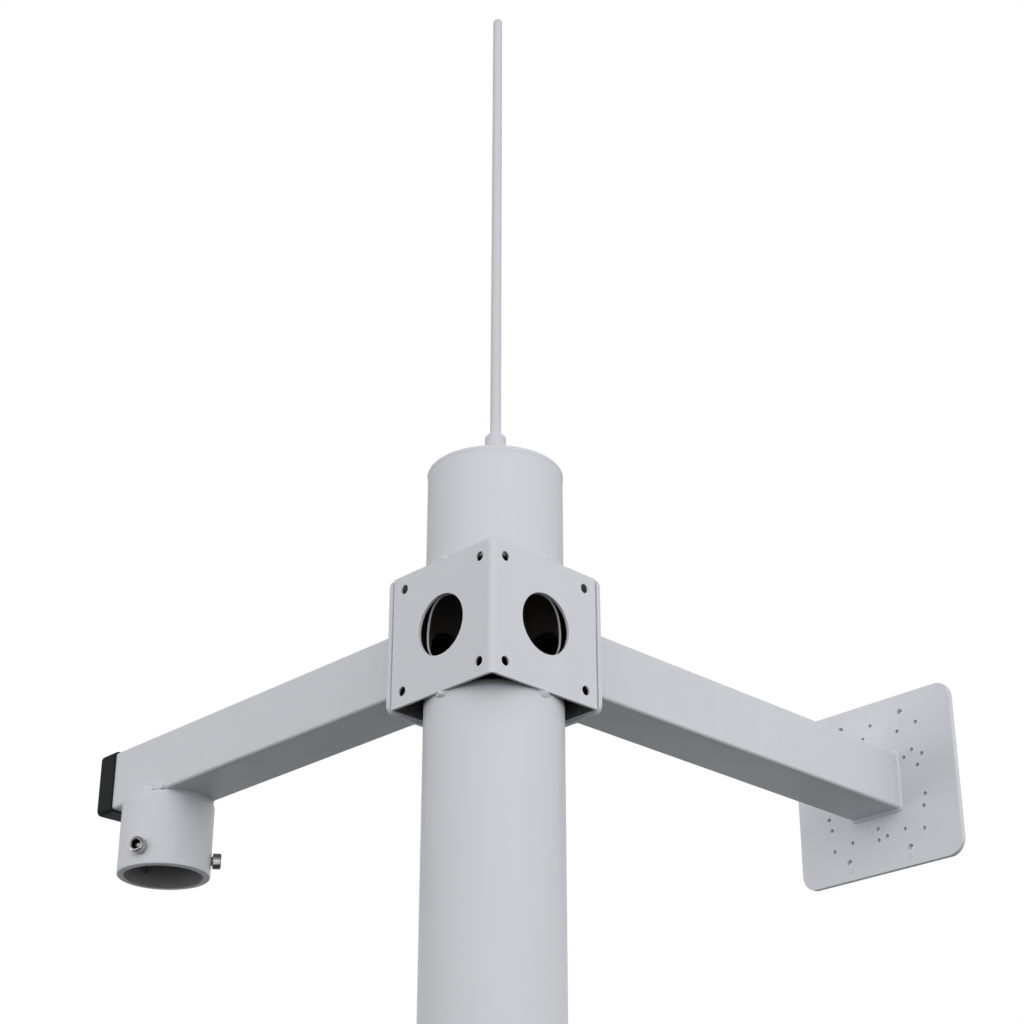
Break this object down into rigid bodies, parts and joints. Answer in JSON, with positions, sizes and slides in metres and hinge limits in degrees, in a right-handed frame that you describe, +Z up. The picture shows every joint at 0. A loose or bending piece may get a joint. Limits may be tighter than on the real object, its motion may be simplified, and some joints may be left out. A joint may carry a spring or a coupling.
{
  "type": "camera mast",
  "caption": "Mast head for cameras: a round pole with a folded box bracket, two square arms, a clamp collar, a drilled camera plate and a lightning rod.",
  "frame": {"origin": "centre of the pole's foot, at its square-cut lower end", "axes": "+Z up along the pole; +Y along the left arm with the collar; +X along the right arm with the plate; the bracket's front fold faces between -X and -Y"},
  "size_m": [0.704, 0.755, 1.7885],
  "materials": {
    "paint": "gloss",
    "black_plastic": "satin",
    "stainless": "satin",
    "zinc": "satin"
  },
  "bodies": {
    "mast": {"mast_pole": "paint", "top_cap": "paint", "top_cap_weld": "paint", "front_bracket_sheet": "paint", "rear_bracket_sheet": "paint", "pole_tack_welds": "paint", "right_arm_flange": "paint", "left_arm_flange": "paint", "right_arm_tube": "paint", "left_arm_tube": "paint", "right_arm_weld": "paint", "left_arm_weld": "paint", "camera_plate": "paint", "camera_plate_weld": "paint", "arm_end_cap": "black_plastic", "camera_collar": "paint", "collar_top_plate": "paint", "collar_weld": "paint", "right_flange_bolts": "zinc", "left_flange_bolts": "zinc", "right_flange_washers": "zinc", "left_flange_washers": "zinc", "right_flange_nuts": "zinc", "left_flange_nuts": "zinc", "rod_socket": "paint", "rod_socket_weld": "paint", "lightning_rod": "paint", "rod_weld": "paint"},
    "clamp_screw_1_body": {"clamp_screw_1": "stainless"},
    "clamp_screw_2_body": {"clamp_screw_2": "stainless"},
    "clamp_screw_3_body": {"clamp_screw_3": "stainless"}
  },
  "joints": [
    {"name": "clamp_screw_1_travel", "type": "slide", "parent": "mast", "child": "clamp_screw_1_body", "axis": [-0.9135, -0.4067, 0], "range_m": [-0.001, 0.006]},
    {"name": "clamp_screw_2_travel", "type": "slide", "parent": "mast", "child": "clamp_screw_2_body", "axis": [0.809, -0.5878, 0], "range_m": [-0.001, 0.006]},
    {"name": "clamp_screw_3_travel", "type": "slide", "parent": "mast", "child": "clamp_screw_3_body", "axis": [0.1045, 0.9945, 0], "range_m": [-0.001, 0.006]}
  ]
}
